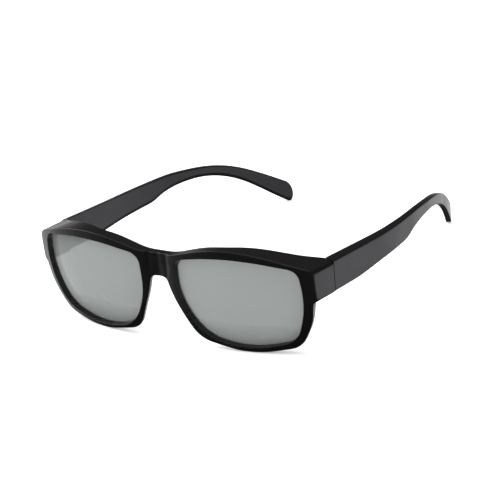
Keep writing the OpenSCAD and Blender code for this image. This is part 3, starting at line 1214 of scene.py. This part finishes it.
    def face_marks(self, start_x: float, end_x: float) -> List[float]:
        """Spreads points across the front face so that the valley's edges fall on them.

        Args:
            start_x: Where the line across the face starts.
            end_x: Where it ends.

        Returns:
            The parts of the way, in order.
        """
        anchors = [0.0]
        crosses = start_x > end_x + self.shortest_face and end_x < self.valley_near
        for k, (x, _) in enumerate(self.valley):
            even = (k + 1) / 3
            if crosses:
                exact = (start_x - x) / (start_x - end_x)
                even += (exact - even) * max(0.0, 1.0 - max(0.0, end_x - x) / self.valley_fade)
            anchors.append(min(max(even, anchors[-1] + self.valley_gap), 1.0 - self.valley_gap * (2 - k)))
        anchors.append(1.0)
        marks = []
        for a, b in zip(anchors, anchors[1:]):
            for k in range(1, self.face_parts + 1):
                marks.append(a + (b - a) * k / self.face_parts)
        return marks[:-1]

    @staticmethod
    def end_parts(stations: Sequence[Station]) -> List[float]:
        """Measures how far down the end piece each station lies.

        Args:
            stations: Every station.

        Returns:
            Part of the way from the brow to the end piece's foot, 0 elsewhere.
        """
        run, gone = [], 0.0
        for before, here in zip([stations[0], *stations], stations):
            on_end = here.kind is StationKind.END
            if on_end:
                gone += (Vector(here.outer) - Vector(before.outer)).length
            run.append(gone if on_end else 0.0)
        return [length / gone for length in run]

    @staticmethod
    def open_middle(piece: Piece) -> None:
        """Takes away the faces that lie on the mirror plane.

        Args:
            piece: The half front.
        """
        pick(piece)
        bpy.ops.object.mode_set(mode="EDIT")
        bpy.ops.mesh.select_mode(type="FACE")
        bpy.ops.mesh.select_all(action="DESELECT")
        mesh = bmesh.from_edit_mesh(piece.data)
        for face in mesh.faces:
            face.select_set(all(abs(v.co.x) < MIDDLE_MM for v in face.verts))
        bmesh.update_edit_mesh(piece.data)
        bpy.ops.mesh.delete(type="FACE")
        bpy.ops.object.mode_set(mode="OBJECT")


# The lenses


@dataclass(frozen=True)
class Lenses:
    """The two curved lenses, each held in the rim's groove."""

    stand: HeadFrame
    eyes: Eyes
    opening_corners: Tuple[Corner, ...]
    middle: Point2 = (38.4, -17.8)
    in_groove: float = 0.35
    edge_points: int = 192
    scales: Tuple[float, ...] = (1.0, 0.985, 0.93, 0.84, 0.72, 0.6, 0.48, 0.36, 0.24, 0.12, 0.03)

    def build(self) -> List[Piece]:
        """Builds both lenses.

        Returns:
            The lens of the wearer's left and then the right, in the shared frame.
        """
        outline, middle = Outline(self.edge_corners()), Vector(self.middle)
        edge = [outline.at(outline.total * k / self.edge_points) for k in range(self.edge_points)]
        rings: List[Ring] = []
        for scale in self.scales:
            places = [middle.lerp(point, scale) for point in edge]
            rings.append([self.eyes.spot(at.x, at.y, self.eyes.lens_recess) for at in places])
        back = [[self.behind(point) for point in ring] for ring in rings]
        piece = sweep("lens_left_pane", rings[::-1] + back, closed=False)
        finish_shape(piece, 50.0, weighted=False)
        self.stand.seat(piece)
        return [piece, mirrored_copy(piece, "lens_right_pane")]

    def dress(self, pieces: Sequence[Piece]) -> None:
        """Gives the lenses their tint, their body and the nodes they stand for.

        Args:
            pieces: The left lens and the right.
        """
        material = LENS.material()
        for side, piece in zip(SIDES, pieces):
            dress(piece, material)
            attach(piece, FRONT_BODY)
            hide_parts(f"lens_{side}")

    def edge_corners(self) -> List[Corner]:
        """Moves every edge of the opening outward, to the lens's edge in its groove.

        Returns:
            The corners of the lens's outline.
        """
        made: List[Corner] = []
        for i, (_, _, radius) in enumerate(self.opening_corners):
            here, u, v, half = corner_arms(self.opening_corners, i)
            at = here - (u + v).normalized() * (self.in_groove / math.sin(half))
            made.append((at.x, at.y, radius + self.in_groove))
        return made

    def behind(self, point: Vector) -> Vector:
        """Gives the place on the lens's back straight behind a place on its front.

        Args:
            point: The place on the front.

        Returns:
            The place on the back.
        """
        centre, eyes = Vector(self.eyes.centre), self.eyes
        out = (point - centre).normalized()
        return centre + out * (eyes.radius - eyes.lens_recess - eyes.lens_thickness)


# The temples


@dataclass(frozen=True)
class Temples:
    """The two temples, each from the seam to its rounded tip.

    A station is the distance along the inner face, the heights of the top and bottom, the
    thickness, and how far the top falls toward the outer side.
    """

    stand: HeadFrame
    hinge: HingeRoom
    stations: Tuple[Row, ...] = (
        (22.6, -1.0, -15.6, 3.8, 1.3), (42, -1.5, -15.3, 3.6, 1.1), (60, -1.9, -13.6, 3.4, 0.8),
        (74, -1.9, -12.5, 3.2, 0.6), (82, -1.9, -11.7, 3.1, 0.4), (89, -1.9, -9.4, 3.1, 0.2),
        (96, -2.0, -8.1, 3.1, 0.1), (104, -2.5, -7.6, 3.1, 0.1), (112, -3.2, -7.9, 3.1, 0.1),
        (120, -4.4, -9.3, 3.1, 0.1), (128, -6.4, -11.9, 3.0, 0.1), (136, -9.3, -15.8, 3.0, 0.2),
        (144, -13.1, -20.9, 3.0, 0.3), (152, -17.3, -26.4, 3.0, 0.4), (160.9, -22.2, -32.2, 3.0, 0.4),
    )
    inner_x: float = 68.9
    bend_y: float = 58.0
    bend_radius: float = 195.0
    reach: float = 160.88
    sections: int = 80
    tip_round: float = 3.2
    tip_steps: int = 10
    tip_turn_deg: float = 84.0
    tip_least_height: float = 0.2
    tip_least_thickness: float = 0.45
    seam_ease: float = 0.12
    edge: float = 0.5
    outer_edges: Point2 = (1.6, 1.5)
    bevel_edges: Point2 = (0.25, 0.2)
    edge_steps: int = 4
    inner_bevel: float = 1.6
    bevel_lean: float = 0.35
    flat_edge: float = 0.07

    def build(self) -> List[Piece]:
        """Builds both temples.

        Returns:
            The temple of the wearer's left and then the right, in the shared frame.
        """
        piece = sweep("temple_left_arm", [self.ring(*row) for row in self.rows()], closed=False)
        cut(piece, self.hinge.cutters(1, self.hinge.temple_leaf))
        finish_shape(piece, weighted=False)
        self.stand.seat(piece)
        return [piece, mirrored_copy(piece, "temple_right_arm")]

    def dress(self, pieces: Sequence[Piece]) -> None:
        """Gives the temples their plastic, their bodies and the nodes they stand for.

        Args:
            pieces: The left temple and the right.
        """
        material = TEMPLE_PLASTIC.material()
        for side, piece in zip(SIDES, pieces):
            dress(piece, material)
            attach(piece, ARM_BODY[side])
            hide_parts(f"temple_{side}")

    def slope(self, k: int, column: int) -> float:
        """Gives how fast a column rises at a station, from the stations on both sides."""
        a, b = self.stations[max(0, k - 1)], self.stations[min(len(self.stations) - 1, k + 1)]
        return (b[column] - a[column]) / (b[0] - a[0])

    def values(self, i: int, t: float) -> Tuple[float, ...]:
        """Gives the smooth top, bottom, thickness and fall between two stations.

        Args:
            i: The first station's number.
            t: Part of the way to the next.

        Returns:
            The four values.
        """
        a, b = self.stations[i], self.stations[i + 1]
        span = b[0] - a[0]
        return tuple(
            a[c] * (2 * t**3 - 3 * t**2 + 1)
            + b[c] * (3 * t**2 - 2 * t**3)
            + self.slope(i, c) * span * (t**3 - 2 * t**2 + t)
            + self.slope(i + 1, c) * span * (t**3 - t**2)
            for c in range(1, 5)
        )

    def inner_face(self, s: float, w: float) -> Point2:
        """Gives the place in plan of the inner face, moved toward the outer face.

        Args:
            s: Distance along the inner face.
            w: Distance from the inner face.

        Returns:
            The place, (x, y).
        """
        turn = max(0.0, s - self.bend_y) / self.bend_radius
        return (
            self.inner_x - self.bend_radius * (1 - math.cos(turn)) + w * math.cos(turn),
            min(s, self.bend_y) + self.bend_radius * math.sin(turn) + w * math.sin(turn),
        )

    def ring(self, s: float, top: float, bottom: float, thick: float, fall: float) -> Ring:
        """Draws the temple's section.

        Args:
            s: Distance along the inner face.
            top: Height of the top face at the inner side.
            bottom: Height of the bottom.
            thick: Thickness.
            fall: How far the top falls toward the outer side.

        Returns:
            The section's points.
        """
        height = top - bottom
        bevel = min(self.inner_bevel, height / 3)
        edge = min(self.edge, height / 6)
        upper, lower = self.outer_edges
        start_round, end_round = self.bevel_edges
        rounded = (
            ((0.0, bottom + bevel), start_round),
            ((0.0, top), edge),
            ((thick, top - fall), upper * edge),
            ((thick, bottom), lower * edge),
            ((bevel * self.bevel_lean, bottom), end_round),
        )
        flat = [stood_up(at) for at, _ in rounded]
        corners = []
        for k, (_, radius) in enumerate(rounded):
            after = flat[(k + 1) % len(flat)]
            corners.append(corner_points(flat[k - 1], flat[k], after, radius, self.edge_steps))
        points: List[Vector] = []
        for corner, following in zip(corners, corners[1:] + corners[:1]):
            start, end = corner[-1], following[0]
            points += [*corner, start.lerp(end, self.flat_edge), end.lerp(start, self.flat_edge)]
        return [Vector((*self.inner_face(s, point.x), point.z)) for point in points]

    def rows(self) -> List[Row]:
        """Spreads the sections along the temple and round its tip.

        Returns:
            Distance, top, bottom, thickness and fall of each section.
        """
        last = len(self.stations) - 1
        seam = self.stations[0][0]
        made: List[Row] = []
        for k in range(self.sections):
            s = seam + (self.reach - self.tip_round - seam) * k / self.sections
            i = max(n for n in range(last) if self.stations[n][0] <= s + TINY)
            t = (s - self.stations[i][0]) / (self.stations[i + 1][0] - self.stations[i][0])
            made.append((s, *self.values(i, t)))
        start = self.stations[last - 1][0]
        for k in range(self.tip_steps):
            shrink = math.radians(self.tip_turn_deg * k / (self.tip_steps - 1))
            s = self.reach - self.tip_round + self.tip_round * math.sin(shrink)
            top, bottom, thick, fall = self.values(last - 1, (s - start) / (self.reach - start))
            left = math.cos(shrink)
            half = (top - bottom) / 2 * (self.tip_least_height + (1 - self.tip_least_height) * left)
            middle = (top + bottom) / 2
            thick *= self.tip_least_thickness + (1 - self.tip_least_thickness) * left
            made.append((s, middle + half, middle - half, thick, fall * left))
        ease, (s, top, bottom, thick, fall) = self.seam_ease, made[0]
        made[0] = (s + ease, top, bottom, thick, fall)
        return [(s, top - ease, bottom + ease, thick - ease, fall)] + made


# The hinges


@dataclass(frozen=True)
class Hinges:
    """The hinges' leaves and screws, which keep their own bodies."""

    nodes: Dict[str, Piece]
    stems: Tuple[str, ...] = (
        "front_hinge_leaf",
        "temple_hinge_leaf",
        "hinge_screw",
        "front_leaf_screws",
        "temple_leaf_screws",
    )
    weld: float = 0.000002
    eased_edge: float = 0.00006
    edge_angle: float = math.radians(50)

    def build(self) -> List[Piece]:
        """Eases the edges of the metal pieces.

        Returns:
            The pieces.
        """
        made = [self.nodes[f"{stem}_{side}"] for stem in self.stems for side in SIDES]
        for piece in made:
            piece.modifiers.new("weld", "WELD").merge_threshold = self.weld
            bevel = piece.modifiers.new("eased_edges", "BEVEL")
            bevel.width = self.eased_edge
            bevel.segments = 2
            bevel.limit_method = "ANGLE"
            bevel.angle_limit = self.edge_angle
            bevel.harden_normals = True
        return made

    def dress(self, pieces: Sequence[Piece]) -> None:
        """Gives the metal pieces their steel.

        Args:
            pieces: The leaves and screws.
        """
        material = STEEL.material()
        for piece in pieces:
            dress(piece, material)


# The studio


@dataclass(frozen=True)
class Lamp:
    """One soft lamp of the studio."""

    name: str
    place: Point3
    aim: Point3
    size: Point2
    watts: float

    def hang(self) -> None:
        """Hangs the lamp at its place and turns it to its aim."""
        data = bpy.data.lights.new(self.name, "AREA")
        data.shape = "RECTANGLE"
        data.size, data.size_y = self.size
        data.energy = self.watts
        lamp = bpy.data.objects.new(self.name, data)
        bpy.context.scene.collection.objects.link(lamp)
        lamp.location = self.place
        lamp.rotation_mode = "QUATERNION"
        lamp.rotation_quaternion = (Vector(self.place) - Vector(self.aim)).to_track_quat("Z", "Y")


@dataclass(frozen=True)
class Studio:
    """The pale floor, the lamps, the surroundings and the camera.

    The black plastic mirrors the surroundings. The sky is greys by height over the horizon, and
    the table greys by direction round the horizon, each as position and grey, the two ends first.
    Toward straight down the table is painted dark, a painted shadow of the object in the gloss.
    """

    floor_half: float = 3.0
    floor_drop: float = 0.0001
    paper: Colour = (0.9, 0.9, 0.9, 1.0)
    paper_glow: float = 0.35
    lamps: Tuple[Lamp, ...] = (
        Lamp("overhead", (0.0, 0.1, 1.5), (0.0, 0.0, 0.0), (1.2, 1.2), 7.0),
        Lamp("key_panel", (-1.0, -0.45, 1.1), (0.0, 0.0, 0.03), (0.8, 0.8), 8.0),
        Lamp("left_panel", (-1.3, -0.1, 0.6), (0.0, 0.0, 0.03), (1.2, 1.1), 11.0),
    )
    world_light: float = 0.9
    sky: Tuple[Point2, ...] = ((0.0, 0.1), (1.0, 0.4), (0.2, 0.035), (0.6, 0.06))
    table: Tuple[Point2, ...] = (
        (0.0, 1.3), (1.0, 1.3), (0.03, 0.6), (0.055, 0.42), (0.1, 0.25), (0.16, 0.04), (0.33, 0.015),
        (0.43, 1.0), (0.64, 1.06), (0.73, 1.28), (0.82, 1.12), (0.92, 1.2),
    )
    # painted shadow: the table in the gloss darkens toward straight down, under the object
    straight_down: Point2 = (-0.6, -0.48)
    painted_shadow_share: float = 0.05
    table_edge: Point2 = (-0.14, -0.02)
    camera_place: Point3 = (0.680152, -0.882595, 0.459224)
    camera_right: Point3 = (0.810823, 0.572082, -0.123646)
    camera_up: Point3 = (-0.122418, 0.372345, 0.919985)
    camera_back: Point3 = (0.572346, -0.730809, 0.37194)
    focal_length: float = 194.4
    sensor_width: float = 36.0

    def build(self) -> None:
        """Builds the whole studio."""
        self.lay_floor()
        self.surround()
        for lamp in self.lamps:
            lamp.hang()
        self.set_camera()
        bpy.context.scene.view_settings.view_transform = "Standard"

    def lay_floor(self) -> None:
        """Lays the floor, which shows the object's shadow on white and is left out of the gloss."""
        deselect_all()
        middle = (0.0, 0.0, -self.floor_drop)
        bpy.ops.mesh.primitive_plane_add(size=2 * self.floor_half, location=middle)
        floor = bpy.context.object
        floor.name = "studio_floor"
        material, sheet, output = new_material("floor_paper")
        paper = sheet.add("ShaderNodeBsdfDiffuse", {"Color": self.paper})
        glow = sheet.add("ShaderNodeEmission", {"Color": WHITE, "Strength": self.paper_glow})
        both = sheet.add("ShaderNodeAddShader")
        through = sheet.add("ShaderNodeBsdfTransparent")
        path = sheet.add("ShaderNodeLightPath")
        either = sheet.add("ShaderNodeMixShader")
        sheet.wire(
            (paper, "BSDF", both, 0), (glow, "Emission", both, 1), (path, "Is Glossy Ray", either, "Fac"),
            (both, "Shader", either, 1), (through, "BSDF", either, 2), (either, "Shader", output, "Surface"),
        )
        floor.data.materials.append(material)

    def surround(self) -> None:
        """Sets the light from all round.

        The camera and what is seen through the lenses have plain white. The gloss has the sky
        above the table's edge, and below it the table, which is dark toward straight down: a painted
        shadow of the object.
        """
        world = bpy.data.worlds.new("studio")
        bpy.context.scene.world = world
        world.use_nodes = True
        sheet = NodeSheet(world.node_tree)
        output = sheet.add("ShaderNodeOutputWorld")
        path = sheet.add("ShaderNodeLightPath")
        direct = sheet.add("ShaderNodeMath", operation="MAXIMUM")
        white = sheet.add("ShaderNodeBackground", {"Color": WHITE, "Strength": 1.0})
        soft = sheet.add("ShaderNodeBackground", {"Color": WHITE, "Strength": self.world_light})
        mirrored = sheet.add("ShaderNodeBackground", {"Strength": 1.0})
        place = sheet.add("ShaderNodeTexCoord")
        height = sheet.add("ShaderNodeSeparateXYZ")
        sky, table = sheet.ramp(self.sky), sheet.ramp(self.table)
        direction = sheet.add("ShaderNodeTexGradient", gradient_type="RADIAL")
        # painted shadow of the object, darkening the gloss's table toward straight down
        under = sheet.rescale(*self.straight_down, self.painted_shadow_share, 1.0)
        shaded = sheet.add("ShaderNodeVectorMath", operation="MULTIPLY")
        below = sheet.rescale(*self.table_edge, 1.0, 0.0)
        around = sheet.add("ShaderNodeMix", data_type="RGBA")
        glossy = sheet.add("ShaderNodeMixShader")
        shown = sheet.add("ShaderNodeMixShader")
        sheet.wire(
            (path, "Is Camera Ray", direct, 0), (path, "Is Transmission Ray", direct, 1),
            (place, "Generated", height, "Vector"), (height, "Z", sky, "Fac"), (height, "Z", below, "Value"),
            (height, "Z", under, "Value"), (place, "Generated", direction, "Vector"),
            (direction, "Fac", table, "Fac"), (table, "Color", shaded, 0), (under, "Result", shaded, 1),
            (below, "Result", around, "Factor"), (sky, "Color", around, "A"), (shaded, "Vector", around, "B"),
            (around, "Result", mirrored, "Color"), (path, "Is Glossy Ray", glossy, "Fac"),
            (soft, "Background", glossy, 1), (mirrored, "Background", glossy, 2),
            (direct, "Value", shown, "Fac"), (glossy, "Shader", shown, 1), (white, "Background", shown, 2),
            (shown, "Shader", output, "Surface"),
        )

    def set_camera(self) -> None:
        """Sets the camera where the photograph was taken from."""
        data = bpy.data.cameras.new("camera")
        data.lens = self.focal_length
        data.sensor_width = self.sensor_width
        camera = bpy.data.objects.new("camera", data)
        bpy.context.scene.collection.objects.link(camera)
        axes = (self.camera_right, self.camera_up, self.camera_back, self.camera_place)
        matrix = Matrix.Identity(4)
        for column, axis in enumerate(axes):
            for row in range(3):
                matrix[row][column] = axis[row]
        camera.matrix_world = matrix
        bpy.context.scene.camera = camera


# Assembly


def main() -> None:
    """Builds the sub-assemblies in order, dresses them and sets up the studio."""
    logging.basicConfig(level=logging.INFO, format="%(name)s: %(message)s")
    stand, eyes, hinge = HeadFrame(), Eyes(), HingeRoom()
    front = Front(stand, eyes, hinge)
    lenses = Lenses(stand, eyes, front.opening_corners)
    for part in (front, lenses, Temples(stand, hinge), Hinges(frame["nodes"])):
        pieces = part.build()
        part.dress(pieces)
        for piece in pieces:
            LOG.info("built %s: %d faces", piece.name, len(piece.data.polygons))
    Studio().build()


if __name__ == "__main__":
    main()
